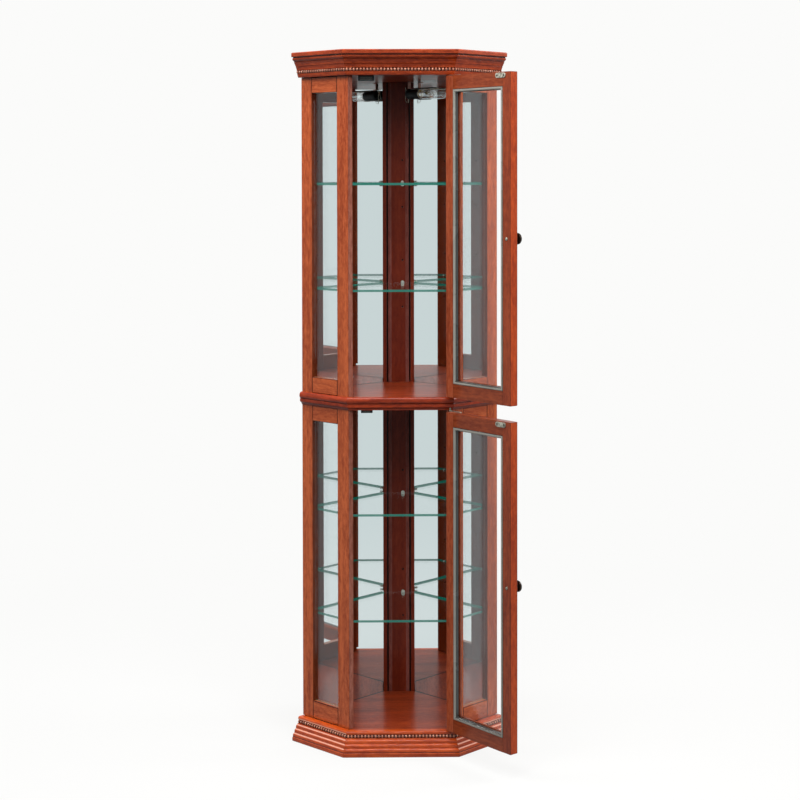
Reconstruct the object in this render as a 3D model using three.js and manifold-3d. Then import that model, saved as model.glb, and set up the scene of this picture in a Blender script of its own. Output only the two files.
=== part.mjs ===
// Corner display cabinet with two glazed doors, glass shelves, mirrored back walls and a lamp.
// Millimetres, +Z up. The origin is on the floor, under the middle of the front face of the case.
// +Y runs back to the room corner, where the two back walls meet at a right angle.

import * as THREE from "three";
import { mergeVertices } from "three/addons/utils/BufferGeometryUtils.js";
import Module from "manifold-3d";

const wasm = await Module();
wasm.setup();

// Case
const HEIGHT = 1800;
const FRONT_HALF = 132.5;
const SIDE_RUN = 123.5;
const BACK_HALF = FRONT_HALF + SIDE_RUN;
const CORNER_DEPTH = BACK_HALF + SIDE_RUN;
const SIDE_LENGTH = SIDE_RUN * Math.SQRT2;
const WALL_LENGTH = BACK_HALF * Math.SQRT2;
const GAP = 0.3;

// Levels from the floor up
const FLOOR_BOARD_Z = [40, 60];
const WAIST_Z = [881, 914.6];
const CEILING_Z = 1736;
const TOP_BOARD_THICK = 18;
const CASE_LOW = FLOOR_BOARD_Z[1] + GAP;
const CASE_HIGH = CEILING_Z - GAP;

// Side frames
const SIDE_THICK = 18;
const FRONT_STILE_WIDE = 41;
const FRONT_STILE_BEVEL = 11;
const FRONT_INNER = FRONT_HALF - FRONT_STILE_BEVEL;
const REAR_STILE_WIDE = 39;
const SIDE_GLASS = [9, 12];

// Back walls, measured inwards from the room wall
const PANEL_THICK = 3;
const MIRROR_FRONT = 6.3;
const POST_HALF = 42.3;
const POST_FACE_Y = 328;

// Shelves
const SHELF_THICK = 6;
const SHELF_TOPS = { lower_1: 336.6, lower_2: 610.4, upper_1: 1188, upper_2: 1461.6 };
const SHELF_FRONT_Y = 19.5;

// Doors, drawn closed and then turned about their pins to the open pose
const DOOR_HALF = 120.8;
const DOOR_FRONT_Y = -9;
const DOOR_THICK = 25;
const DOOR_TALL = 816;
const DOOR_BOTTOM = { lower: 62.3, upper: 917.4 };
const DOOR_STILE = 27.5;
const DOOR_RAIL = 35;
const LIP_WIDE = 8.5;
const LIP_THICK = 10;
const DOOR_GLASS_THICK = 4;
const PIVOT = { x: 127.2, y: -3.3 };
const OPEN_ANGLE = THREE.MathUtils.degToRad(128);
const PIN_RADIUS = 2;
const PIN_HOLE_RADIUS = 2.4;
const PIN_LENGTH = 7;
const LEAF_THICK = 1.6;

const finish = (color, roughness, metalness = 0, extra = {}) =>
  new THREE.MeshStandardMaterial({ color, roughness, metalness, ...extra });
const WOOD = finish(0x93402b, 0.3);
const DARK_WOOD = finish(0x6b2c20, 0.35);
const GLASS = finish(0xd8efe8, 0.05, 0, { transparent: true, opacity: 0.25 });
const MIRROR = finish(0xd5dddd, 0.03, 1);
const BOARD = finish(0x8d6a4c, 0.8);
const BEAD = finish(0x9b9c98, 0.4);
const STEEL = finish(0xb9b6ad, 0.35, 1);
const BRONZE = finish(0x3b3028, 0.45, 0.8);
const BLACK = finish(0x17191b, 0.4);

const cabinet = new THREE.Group();

function add(name, geometry, material, parent = cabinet) {
  const mesh = new THREE.Mesh(geometry, material);
  mesh.name = name;
  parent.add(mesh);
  return mesh;
}

// A point on a side panel: along from the front corner, inwards from its outer face
function sidePoint(side, along, inwards) {
  const x = FRONT_HALF + (along - inwards) / Math.SQRT2;
  return new THREE.Vector2(side * x, (along + inwards) / Math.SQRT2);
}

// A point on a back wall: along from the room corner, inwards from the wall
function wallPoint(side, along, inwards) {
  const x = (along - inwards) / Math.SQRT2;
  return new THREE.Vector2(side * x, CORNER_DEPTH - (along + inwards) / Math.SQRT2);
}

// An upright prism on a plan outline, in either order of points
function prism(points, low, high) {
  const solid = new THREE.ExtrudeGeometry(new THREE.Shape(points), {
    depth: high - low,
    bevelEnabled: false,
  });
  return solid.translate(0, 0, low);
}

// Both halves of a plan outline, given its right half from front to back
function mirrored(half) {
  const left = half.map((p) => new THREE.Vector2(-p.x, p.y)).reverse();
  return [...half, ...left];
}

// Boolean work on closed meshes
function solidOf(geometry) {
  const plain = geometry.clone();
  plain.deleteAttribute("normal");
  plain.deleteAttribute("uv");
  const merged = mergeVertices(plain, 1e-4);
  return new wasm.Manifold(new wasm.Mesh({
    numProp: 3,
    vertProperties: new Float32Array(merged.attributes.position.array),
    triVerts: new Uint32Array(merged.index.array),
  }));
}

function geometryOf(solid) {
  const mesh = solid.getMesh();
  const geometry = new THREE.BufferGeometry();
  geometry.setAttribute("position", new THREE.BufferAttribute(mesh.vertProperties, 3));
  geometry.setIndex(new THREE.BufferAttribute(mesh.triVerts, 1));
  geometry.computeVertexNormals();
  return geometry;
}

const cut = (geometry, tools) =>
  geometryOf(tools.reduce((left, tool) => left.subtract(solidOf(tool)), solidOf(geometry)));
const joined = (geometry, others) =>
  geometryOf(others.reduce((sum, other) => sum.add(solidOf(other)), solidOf(geometry)));

function uprightCylinder(radius, low, high, x, y, sides = 16) {
  return new THREE.CylinderGeometry(radius, radius, high - low, sides)
    .rotateX(Math.PI / 2)
    .translate(x, y, (low + high) / 2);
}

// A closed surface over stations that each hold the same ring of points
function lofted(stations, closed) {
  const count = stations[0].length;
  const positions = stations.flat().flatMap((p) => [p.x, p.y, p.z]);
  const index = [];
  const spans = closed ? stations.length : stations.length - 1;
  for (let s = 0; s < spans; s++) {
    const here = s * count;
    const next = ((s + 1) % stations.length) * count;
    for (let i = 0; i < count; i++) {
      const j = (i + 1) % count;
      index.push(here + i, next + j, here + j);
      index.push(here + i, next + i, next + j);
    }
  }
  return { positions, index, count };
}

function bufferOf(positions, index) {
  const geometry = new THREE.BufferGeometry();
  geometry.setAttribute("position", new THREE.Float32BufferAttribute(positions, 3));
  geometry.setIndex(index);
  const flat = geometry.toNonIndexed();
  flat.computeVertexNormals();
  return flat;
}

// A moulding: its profile of (projection, height) run between two plan points that shift
// with the projection, so that the ends are mitred
function moulding(profile, startAt, endAt) {
  const ring = (at) => profile.map((p) => {
    const plan = at(p.x);
    return new THREE.Vector3(plan.x, plan.y, p.y);
  });
  const { positions, index, count } = lofted([ring(startAt), ring(endAt)], false);
  for (const [a, b, c] of THREE.ShapeUtils.triangulateShape(profile, [])) {
    index.push(a, b, c);
    index.push(count + c, count + b, count + a);
  }
  return bufferOf(positions, index);
}

// A rectangular ring in the XZ plane: its section is (inset across, inset up, depth)
function rectangularRing(halfWide, low, high, section) {
  const corners = [[-1, 0], [1, 0], [1, 1], [-1, 1]];
  const stations = corners.map(([acrossSign, top]) => section.map(([across, up, depth]) =>
    new THREE.Vector3(acrossSign * (halfWide - across), depth, top ? high - up : low + up)));
  const { positions, index } = lofted(stations, true);
  return bufferOf(positions, index);
}

const MITRE = Math.tan(Math.PI / 8);
const frontCorner = (side, out) => new THREE.Vector2(side * (FRONT_HALF + out * MITRE), -out);
const sideStart = (side, out) => {
  const shift = GAP / Math.SQRT2;
  return new THREE.Vector2(side * (FRONT_HALF + out * MITRE + shift), -out + shift);
};
const sideEnd = (side, out) =>
  new THREE.Vector2(side * (BACK_HALF + out / Math.SQRT2), SIDE_RUN - out / Math.SQRT2);

// Three strips of one profile: across the front and down both side panels
function mouldingSet(name, shape, divisions, drill = []) {
  const profile = shape.getPoints(divisions);
  if (profile[0].equals(profile.at(-1))) profile.pop();
  if (THREE.ShapeUtils.area(profile) < 0) profile.reverse();
  const front = moulding(profile, (e) => frontCorner(-1, e), (e) => frontCorner(1, e));
  add(`${name}_front`, cut(front, drill), WOOD);
  const left = moulding(profile, (e) => sideEnd(-1, e), (e) => sideStart(-1, e));
  add(`${name}_left`, left, WOOD);
  const right = moulding(profile, (e) => sideStart(1, e), (e) => sideEnd(1, e));
  add(`${name}_right`, right, WOOD);
}

// Crown: flat base, a groove that holds the row of beads, two hollow steps and a round one, each
// set off by a quirk, then an upright fascia
function crownShape() {
  const s = new THREE.Shape();
  s.moveTo(GAP, CEILING_Z);
  s.lineTo(11, CEILING_Z);
  s.quadraticCurveTo(13.5, CEILING_Z + 4, 14.8, CEILING_Z + 10.5);
  s.lineTo(13, CEILING_Z + 11.5);
  s.lineTo(13.4, CEILING_Z + 17);
  s.lineTo(16.2, CEILING_Z + 18.5);
  s.quadraticCurveTo(17.2, CEILING_Z + 24, 20, CEILING_Z + 27.6);
  s.lineTo(18.8, CEILING_Z + 28.2);
  s.lineTo(20.8, CEILING_Z + 29.8);
  s.quadraticCurveTo(22.6, CEILING_Z + 35, 26.2, CEILING_Z + 38.4);
  s.lineTo(24.4, CEILING_Z + 39.2);
  s.lineTo(27.2, CEILING_Z + 42.4);
  s.quadraticCurveTo(31.6, CEILING_Z + 44, 31.8, CEILING_Z + 49);
  s.lineTo(29.4, CEILING_Z + 49.6);
  s.lineTo(29.4, CEILING_Z + 52.2);
  s.lineTo(34, CEILING_Z + 52.2);
  s.lineTo(35.4, CEILING_Z + 53.8);
  s.lineTo(35.4, HEIGHT - 2);
  s.lineTo(33.4, HEIGHT);
  s.lineTo(GAP, HEIGHT);
  return s;
}

// Waist: a half round over a narrower step
function waistShape() {
  const [low, high] = WAIST_Z;
  const s = new THREE.Shape();
  s.moveTo(GAP, low);
  s.lineTo(1.5, low);
  s.quadraticCurveTo(2.5, low + 6, 8.2, low + 8);
  s.lineTo(8.2, low + 15.5);
  s.lineTo(6.6, low + 17);
  s.bezierCurveTo(11.6, low + 18.5, 11.6, high - 2, 4, high);
  s.lineTo(GAP, high);
  return s;
}

// Plinth: rounded nose, a groove that holds the row of beads, three reeds and a flat base
function plinthShape() {
  const top = FLOOR_BOARD_Z[1];
  const s = new THREE.Shape();
  s.moveTo(-18, 0);
  s.lineTo(37.5, 0);
  s.lineTo(39, 1.5);
  s.lineTo(39, 9.5);
  s.lineTo(36.6, 11);
  for (const [out, z] of [[31.1, 21], [25.6, 31], [20.2, 41]]) {
    s.quadraticCurveTo(out + 6.8, z - 2, out, z);
  }
  s.lineTo(19.4, 42.6);
  s.lineTo(15.4, 43.4);
  s.lineTo(15.4, 51);
  s.lineTo(18, 52.4);
  s.quadraticCurveTo(18.6, top - 0.2, 12.5, top);
  s.lineTo(GAP, top);
  s.lineTo(GAP, FLOOR_BOARD_Z[0] - GAP);
  s.lineTo(-18, FLOOR_BOARD_Z[0] - GAP);
  return s;
}

// Sockets in the mouldings for the hinge pins
const pinHole = (low, high) => uprightCylinder(PIN_HOLE_RADIUS, low, high, PIVOT.x, PIVOT.y);
mouldingSet("crown", crownShape(), 9, [pinHole(CEILING_Z - 1, CEILING_Z + PIN_LENGTH + 1)]);
mouldingSet("waist_moulding", waistShape(), 10, [
  pinHole(WAIST_Z[1] - PIN_LENGTH, WAIST_Z[1] + 1),
  pinHole(WAIST_Z[0] - 1, WAIST_Z[0] + PIN_LENGTH + 2),
]);
mouldingSet("plinth", plinthShape(), 7, [
  pinHole(FLOOR_BOARD_Z[1] - PIN_LENGTH - 1, FLOOR_BOARD_Z[1] + 1),
]);

// Boards: all three are cut around the corner post or cap it
const postNotch = (clear) => [
  wallPoint(1, WALL_LENGTH - clear, PANEL_THICK + GAP),
  wallPoint(1, 66.6, PANEL_THICK + GAP),
  wallPoint(1, 66.6, 6.8),
];
add("bottom_deck", prism(mirrored([
  new THREE.Vector2(FRONT_HALF, 0),
  ...postNotch(0),
]), ...FLOOR_BOARD_Z), DARK_WOOD);
add("waist_deck", prism(mirrored([
  new THREE.Vector2(FRONT_HALF - GAP * Math.SQRT2, 0),
  new THREE.Vector2(FRONT_INNER - GAP, FRONT_STILE_BEVEL - 0.2),
  new THREE.Vector2(FRONT_INNER - GAP, 14.6),
  ...postNotch(SIDE_THICK + GAP),
]), ...WAIST_Z), DARK_WOOD);
add("top_board", prism(mirrored([
  new THREE.Vector2(FRONT_HALF, 0),
  wallPoint(1, WALL_LENGTH, 0),
  wallPoint(1, 20, 0),
]), CEILING_Z, CEILING_Z + TOP_BOARD_THICK), DARK_WOOD);

// The corner post stands on the floor; its face has a bevel and a groove on each side
const bevelAndGroove = [[19, 0], [28.6, 3], [29.8, 6], [32.4, 6], [33, 0], [POST_HALF, 0]];
add("corner_post", prism(mirrored([
  ...bevelAndGroove.map(([x, deep]) => new THREE.Vector2(x, POST_FACE_Y + deep)),
  wallPoint(1, 66.3, PANEL_THICK + GAP),
  wallPoint(1, 6.5, PANEL_THICK + GAP),
]), 0, CASE_HIGH), DARK_WOOD);

for (const [label, side] of [["left", -1], ["right", 1]]) {
  // Back panel and the two mirrors in front of it
  const between = (from, to, near, far) => [
    wallPoint(side, from, near),
    wallPoint(side, to, near),
    wallPoint(side, to, far),
    wallPoint(side, from, far),
  ];
  const stileInside = WALL_LENGTH - SIDE_THICK - GAP;
  add(`back_panel_${label}`, prism(between(3.3, stileInside, 0, PANEL_THICK), 2, CASE_HIGH), BOARD);
  const mirrorPlan = between(66.6, stileInside, PANEL_THICK + GAP, MIRROR_FRONT);
  add(`mirror_lower_${label}`, prism(mirrorPlan, CASE_LOW, WAIST_Z[0] - GAP), MIRROR);
  add(`mirror_upper_${label}`, prism(mirrorPlan, WAIST_Z[1] + GAP, CASE_HIGH), MIRROR);

  // Side frame: two full-height stiles, four rails and two panes
  add(`front_stile_${label}`, prism([
    new THREE.Vector2(side * FRONT_INNER, FRONT_STILE_BEVEL),
    new THREE.Vector2(side * FRONT_HALF, 0),
    sidePoint(side, FRONT_STILE_WIDE, 0),
    sidePoint(side, FRONT_STILE_WIDE, SIDE_THICK),
    new THREE.Vector2(side * FRONT_INNER, 14.4),
  ], CASE_LOW, CASE_HIGH), WOOD);
  const rearStart = SIDE_LENGTH - REAR_STILE_WIDE;
  const bar = (from, to, near, far) => [
    sidePoint(side, from, near),
    sidePoint(side, to, near),
    sidePoint(side, to, far),
    sidePoint(side, from, far),
  ];
  add(`rear_stile_${label}`, prism(bar(rearStart, SIDE_LENGTH, 0, SIDE_THICK), CASE_LOW, CASE_HIGH), WOOD);
  const railPlan = bar(FRONT_STILE_WIDE + GAP, rearStart - GAP, 0, SIDE_THICK);
  const panePlan = bar(FRONT_STILE_WIDE + GAP, rearStart - GAP, ...SIDE_GLASS);
  const windows = {
    lower: [CASE_LOW, 106, WAIST_Z[0] - 40, WAIST_Z[0]],
    upper: [WAIST_Z[1], WAIST_Z[1] + 41, CEILING_Z - 42, CASE_HIGH],
  };
  for (const [level, [low, sill, head, high]] of Object.entries(windows)) {
    add(`side_rail_${level}_bottom_${label}`, prism(railPlan, low, sill), WOOD);
    add(`side_rail_${level}_top_${label}`, prism(railPlan, head, high), WOOD);
    add(`side_glass_${level}_${label}`, prism(panePlan, sill + GAP, head - GAP), GLASS);
  }
}

// Glass shelves with a cut rear corner
const SHELF_SIDE_CLEAR = SIDE_THICK + 2;
const SHELF_WALL_CLEAR = MIRROR_FRONT + 2.7;
const shelfRearY = POST_FACE_Y - 3;
const shelfPlan = mirrored([
  new THREE.Vector2(SHELF_FRONT_Y + FRONT_HALF - SHELF_SIDE_CLEAR * Math.SQRT2, SHELF_FRONT_Y),
  wallPoint(1, WALL_LENGTH - SHELF_SIDE_CLEAR, SHELF_WALL_CLEAR),
  new THREE.Vector2(CORNER_DEPTH - SHELF_WALL_CLEAR * Math.SQRT2 - shelfRearY, shelfRearY),
]);
for (const [level, top] of Object.entries(SHELF_TOPS)) {
  add(`glass_shelf_${level}`, prism(shelfPlan, top - SHELF_THICK, top), GLASS);
}

// Magnetic catches under the ceiling and under the waist
const CATCH_X = -86;
for (const [level, under, long, tall] of [["lower", WAIST_Z[0], 30, 9.5], ["upper", CEILING_Z, 42, 13]]) {
  const body = new THREE.BoxGeometry(long, 15, tall).translate(CATCH_X, 26.4, under - GAP - tall / 2);
  add(`magnetic_catch_${level}`, body, BLACK);
}

// Lamp beside the right mirror: bracket, socket, hood and tube bulb on one axis
const LAMP_FROM_WALL = 26;
const LAMP_Z = 1702;
const SOCKET_RADIUS = 14.5;
const SOCKET_LONG = 47;
const SOCKET_START = 64;
const HOOD_RADIUS = SOCKET_RADIUS + 1.5;
const HOOD_FROM = Math.PI * 0.28;
const HOOD_TO = Math.PI * 0.72;
const HOOD_LONG = 90;
const BULB_RADIUS = 14;
const lamp = new THREE.Group();
const lampAt = wallPoint(1, SOCKET_START, LAMP_FROM_WALL);
lamp.position.set(lampAt.x, lampAt.y, LAMP_Z);
lamp.rotation.z = -Math.PI / 4;
cabinet.add(lamp);
const alongX = (geometry) => geometry.rotateZ(-Math.PI / 2);
add("lamp_socket", alongX(new THREE.LatheGeometry([
  [0, 0], [9, 0], [13, 2], [SOCKET_RADIUS, 6], [SOCKET_RADIUS, SOCKET_LONG], [12.5, SOCKET_LONG],
  [12.5, SOCKET_LONG - 6], [0, SOCKET_LONG - 6],
].map(([r, x]) => new THREE.Vector2(r, x)), 28)), BLACK, lamp);
add("lamp_bulb", alongX(new THREE.LatheGeometry([
  [0, SOCKET_LONG - 5.6], [11, SOCKET_LONG - 5.6], [11, SOCKET_LONG], [BULB_RADIUS, SOCKET_LONG + 4],
  [BULB_RADIUS, 90], [12.6, 96.4], [8, 101], [0, 102.5],
].map(([r, x]) => new THREE.Vector2(r, x)), 24)), GLASS, lamp);
const hoodShape = new THREE.Shape();
hoodShape.absarc(0, 0, HOOD_RADIUS, HOOD_FROM, HOOD_TO, false);
hoodShape.absarc(0, 0, SOCKET_RADIUS + GAP, HOOD_TO, HOOD_FROM, true);
const hood = new THREE.ExtrudeGeometry(hoodShape, { depth: HOOD_LONG, bevelEnabled: false, curveSegments: 16 });
add("lamp_hood", hood.rotateX(Math.PI / 2).rotateZ(Math.PI / 2).translate(18, 0, 0), BLACK, lamp);
const bracketShape = new THREE.Shape([
  [0, SOCKET_RADIUS + GAP], [12, SOCKET_RADIUS + GAP], [12, SOCKET_RADIUS + 2], [2, SOCKET_RADIUS + 2],
  [2, CEILING_Z - LAMP_Z - 2], [12, CEILING_Z - LAMP_Z - 2], [12, CEILING_Z - LAMP_Z - GAP],
  [0, CEILING_Z - LAMP_Z - GAP],
].map(([x, z]) => new THREE.Vector2(x, z)));
const bracket = new THREE.ExtrudeGeometry(bracketShape, { depth: 10, bevelEnabled: false });
add("lamp_bracket", bracket.rotateX(Math.PI / 2).translate(4, 5, 0), STEEL, lamp);

// Doors
const knobProfile = [
  [0, 0], [8.5, 0], [8.5, 1.4], [6.6, 2.4], [4.6, 3.2], [4.4, 5.4], [6.2, 7.2], [12.8, 9], [14.4, 11.2],
  [13.6, 13.6], [9.6, 15.8], [4.6, 16.9], [0, 17.2],
].map(([r, out]) => new THREE.Vector2(r, out));
const innerFaceY = DOOR_FRONT_Y + DOOR_THICK;
const glassFrontY = DOOR_FRONT_Y + LIP_THICK + GAP;

for (const level of ["lower", "upper"]) {
  const low = DOOR_BOTTOM[level];
  const high = low + DOOR_TALL;
  const door = new THREE.Group();
  door.position.set(PIVOT.x, PIVOT.y, 0);
  door.rotation.z = OPEN_ANGLE;
  cabinet.add(door);
  const place = (name, geometry, material) =>
    add(name, geometry.translate(-PIVOT.x, -PIVOT.y, 0), material, door);

  // Frame with a rebate that is open to the inside
  place(`door_frame_${level}`, rectangularRing(DOOR_HALF, low, high, [
    [0, 0, DOOR_FRONT_Y + 2],
    [2, 2, DOOR_FRONT_Y],
    [DOOR_STILE + LIP_WIDE - 5, DOOR_RAIL + LIP_WIDE - 5, DOOR_FRONT_Y],
    [DOOR_STILE + LIP_WIDE, DOOR_RAIL + LIP_WIDE, DOOR_FRONT_Y + 5],
    [DOOR_STILE + LIP_WIDE, DOOR_RAIL + LIP_WIDE, DOOR_FRONT_Y + LIP_THICK],
    [DOOR_STILE, DOOR_RAIL, DOOR_FRONT_Y + LIP_THICK],
    [DOOR_STILE, DOOR_RAIL, innerFaceY],
    [0, 0, innerFaceY],
  ]), WOOD);
  const paneWide = 2 * (DOOR_HALF - DOOR_STILE - 0.6);
  const paneTall = DOOR_TALL - 2 * (DOOR_RAIL + 0.6);
  place(`door_glass_${level}`, new THREE.BoxGeometry(paneWide, DOOR_GLASS_THICK, paneTall)
    .translate(0, glassFrontY + DOOR_GLASS_THICK / 2, low + DOOR_TALL / 2), GLASS);

  // Half-round glazing bead that holds the pane in the rebate
  const beadFrom = glassFrontY + DOOR_GLASS_THICK + GAP;
  const beadSection = [[GAP, beadFrom], [8, beadFrom], [8, innerFaceY - 1.5], [6, innerFaceY + 0.8],
    [3.5, innerFaceY + 1.6], [1.2, innerFaceY + 0.8], [GAP, innerFaceY - 1]];
  place(`glazing_bead_${level}`, rectangularRing(DOOR_HALF, low, high, beadSection.map(
    ([inset, depth]) => [DOOR_STILE + inset, DOOR_RAIL + inset, depth])), BEAD);

  // Knob at mid height on the free stile
  place(`door_knob_${level}`, new THREE.LatheGeometry(knobProfile, 24)
    .rotateX(Math.PI)
    .translate(14 - DOOR_HALF, DOOR_FRONT_Y - GAP, low + DOOR_TALL / 2), BRONZE);

  // Steel plate that the magnet pulls on
  const plate = new THREE.Shape();
  plate.absarc(12.2, 0, 6.2, -Math.PI / 2, Math.PI / 2, false);
  plate.absarc(-12.2, 0, 6.2, Math.PI / 2, Math.PI * 1.5, false);
  place(`strike_plate_${level}`, new THREE.ExtrudeGeometry(plate, { depth: 1.4, bevelEnabled: false, curveSegments: 8 })
    .rotateX(Math.PI / 2)
    .translate(CATCH_X, innerFaceY + GAP + 1.4, high - 8.5), STEEL);

  // Pivot hinges: a flat leaf on the door edge, with a pin into the moulding
  const leafShape = new THREE.Shape();
  leafShape.absarc(0, 0, 3, -Math.PI / 2, Math.PI / 2, false);
  leafShape.lineTo(-42, 3);
  leafShape.lineTo(-42, -3);
  for (const [end, edge, up] of [["top", high, 1], ["bottom", low, -1]]) {
    const leafLow = up > 0 ? edge + GAP : edge - GAP - LEAF_THICK;
    const leaf = new THREE.ExtrudeGeometry(leafShape, { depth: LEAF_THICK, bevelEnabled: false, curveSegments: 8 })
      .translate(0, 0, leafLow);
    const pinEnds = up > 0 ? [leafLow, leafLow + LEAF_THICK + PIN_LENGTH] : [leafLow - PIN_LENGTH, leafLow + LEAF_THICK];
    add(`hinge_leaf_${level}_${end}`, joined(leaf, [uprightCylinder(PIN_RADIUS, ...pinEnds, 0, 0)]), STEEL, door);
  }
}

export default cabinet;
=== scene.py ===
from math import atan2, hypot, pi, radians, sqrt, tan

import bpy
from mathutils import Matrix, Vector


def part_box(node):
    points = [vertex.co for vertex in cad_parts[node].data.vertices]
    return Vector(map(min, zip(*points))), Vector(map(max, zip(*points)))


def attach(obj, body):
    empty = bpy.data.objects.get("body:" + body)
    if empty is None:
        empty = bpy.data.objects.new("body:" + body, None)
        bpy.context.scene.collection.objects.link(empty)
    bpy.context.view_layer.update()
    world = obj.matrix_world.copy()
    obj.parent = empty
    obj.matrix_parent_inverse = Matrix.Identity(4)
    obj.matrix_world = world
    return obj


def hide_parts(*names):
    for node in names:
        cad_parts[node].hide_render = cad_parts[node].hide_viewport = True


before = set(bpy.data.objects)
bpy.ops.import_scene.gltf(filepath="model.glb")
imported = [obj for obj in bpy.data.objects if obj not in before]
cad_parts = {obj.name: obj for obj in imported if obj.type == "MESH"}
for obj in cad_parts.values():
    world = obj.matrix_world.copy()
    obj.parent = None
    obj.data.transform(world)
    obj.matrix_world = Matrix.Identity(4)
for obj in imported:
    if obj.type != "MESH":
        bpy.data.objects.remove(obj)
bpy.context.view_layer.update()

# Camera. It stands 4.4 m in front of the case at standing eye height, a little left of its middle
# line, and is tipped down slightly. The shift brings the whole cabinet into the square picture.
FOCAL_PIXELS = 1716.5
PICTURE_PIXELS = 800
PRINCIPAL_ROW = 212.75
bpy.ops.object.camera_add(
    location=(-0.063, -4.3737, 1.4817),
    rotation=(radians(90 - 1.259), radians(0.095), radians(-0.824)))
camera = bpy.context.object
camera.name = "studio_camera"
camera.data.sensor_width = 36
camera.data.lens = FOCAL_PIXELS * camera.data.sensor_width / PICTURE_PIXELS
camera.data.shift_y = (PRINCIPAL_ROW - PICTURE_PIXELS / 2) / PICTURE_PIXELS
bpy.context.scene.camera = camera
bpy.context.scene.view_settings.view_transform = "Standard"


# Studio. A plain white floor and surround under a bright ceiling, with one softbox overhead, two
# high in front, and one at each side that puts thin lights on the lacquer. Mirrors and glass see
# a pale, slightly cool room.
class Value:
    def __init__(self, finish, socket):
        self.finish = finish
        self.socket = socket

    def calc(self, operation, first, second):
        return self.finish.node("ShaderNodeMath", {"operation": operation}, {0: first, 1: second})[0]

    def __add__(self, other):
        return self.calc("ADD", self, other)

    def __sub__(self, other):
        return self.calc("SUBTRACT", self, other)

    def __rsub__(self, other):
        return self.calc("SUBTRACT", other, self)

    def __mul__(self, other):
        return self.calc("MULTIPLY", self, other)

    def __pow__(self, other):
        return self.calc("POWER", self, other)

    def __gt__(self, other):
        return self.calc("GREATER_THAN", self, other)

    def __abs__(self):
        return self.finish.node("ShaderNodeMath", {"operation": "ABSOLUTE"}, {0: self})[0]

    __radd__ = __add__
    __rmul__ = __mul__


class Outputs:
    def __init__(self, finish, made):
        self.finish = finish
        self.made = made

    def __getitem__(self, key):
        return Value(self.finish, self.made.outputs[key])


class Finish:
    def __init__(self, owner):
        self.owner = owner
        self.owner.use_nodes = True
        self.tree = self.owner.node_tree
        self.tree.nodes.clear()

    def node(self, kind, settings=None, sockets=None):
        made = self.tree.nodes.new(kind)
        for key, value in (settings or {}).items():
            setattr(made, key, value)
        for key, value in (sockets or {}).items():
            if isinstance(value, Value):
                self.tree.links.new(value.socket, made.inputs[key])
            else:
                made.inputs[key].default_value = value
        return Outputs(self, made)

    def place(self):
        return self.node("ShaderNodeTexCoord")["Object"]

    def normal(self):
        return self.node("ShaderNodeNewGeometry")["Normal"]

    def axes(self, vector):
        return self.node("ShaderNodeSeparateXYZ", sockets={"Vector": vector})

    def along(self, vector, direction):
        return self.node("ShaderNodeVectorMath", {"operation": "DOT_PRODUCT"},
                         {0: vector, 1: direction})["Value"]

    def mix(self, factor, first, second):
        sockets = {0: factor, 6: first, 7: second}
        return self.node("ShaderNodeMix", {"data_type": "RGBA"}, sockets)[2]

    def spread(self, value, low, high, start=0.0, end=1.0):
        sockets = {"Value": value, 1: low, 2: high, 3: start, 4: end}
        return self.node("ShaderNodeMapRange", sockets=sockets)["Result"]

    def noise(self, place, scale, detail=3.0, roughness=0.5, distortion=0.0):
        sockets = {"Vector": place, "Scale": scale, "Detail": detail, "Roughness": roughness,
                   "Distortion": distortion}
        return self.node("ShaderNodeTexNoise", sockets=sockets)["Fac"]

    def surface(self, **sockets):
        named = {key.replace("_", " "): value for key, value in sockets.items()}
        shader = self.node("ShaderNodeBsdfPrincipled", sockets=named)
        self.node("ShaderNodeOutputMaterial", sockets={"Surface": shader["BSDF"]})
        return self.owner


def new_finish(name):
    return Finish(bpy.data.materials.new(name))


def srgb(red, green, blue):
    parts = [c / 255 for c in (red, green, blue)]
    return (*[c / 12.92 if c <= 0.04045 else ((c + 0.055) / 1.055) ** 2.4 for c in parts], 1)


SEEN_IN_GLOSS = (0.78, 0.863, 0.878, 1)
SEEN_BEHIND = srgb(251, 251, 250)
world = Finish(bpy.data.worlds.new("studio"))
bpy.context.scene.world = world.owner
ray = world.node("ShaderNodeLightPath")
direction = world.node("ShaderNodeTexCoord")["Generated"]
FLOOR_LIGHT = (0.17, 0.17, 0.17, 1)
CEILING_LIGHT = (1.35, 1.33, 1.30, 1)
height = world.axes(direction)["Z"]
surround = world.mix(world.spread(height, 0.0, 1.0), FLOOR_LIGHT, CEILING_LIGHT)
surround = world.mix(ray["Is Camera Ray"], surround, SEEN_BEHIND)
surround = world.mix(ray["Is Transmission Ray"], surround, SEEN_BEHIND)
surround = world.mix(ray["Is Glossy Ray"], surround, SEEN_IN_GLOSS)
back = world.node("ShaderNodeBackground", sockets={"Color": surround, "Strength": 1.0})
world.node("ShaderNodeOutputWorld", sockets={"Surface": back["Background"]})

bpy.ops.mesh.primitive_plane_add(size=60, location=(0, 0, 0))
floor = bpy.context.object
floor.name = "studio_floor"
paper = new_finish("white_paper")
ray = paper.node("ShaderNodeLightPath")
away = paper.node("ShaderNodeVectorMath", {"operation": "LENGTH"},
                  {0: paper.place()})["Value"]
near = paper.spread(away, 0.4, 2.4, 1.0, 0.0)
shown = paper.mix(ray["Is Camera Ray"], (0, 0, 0, 1), SEEN_BEHIND)
shown = paper.mix(ray["Is Glossy Ray"], shown, SEEN_IN_GLOSS)
glow = 1 - near * 0.16
floor.data.materials.append(paper.surface(
    Base_Color=paper.mix(near, (0, 0, 0, 1), (0.10, 0.10, 0.10, 1)), Roughness=0.9,
    Specular_IOR_Level=0.0, Emission_Color=paper.mix(glow, (0, 0, 0, 1), shown),
    Emission_Strength=1.0))

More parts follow.
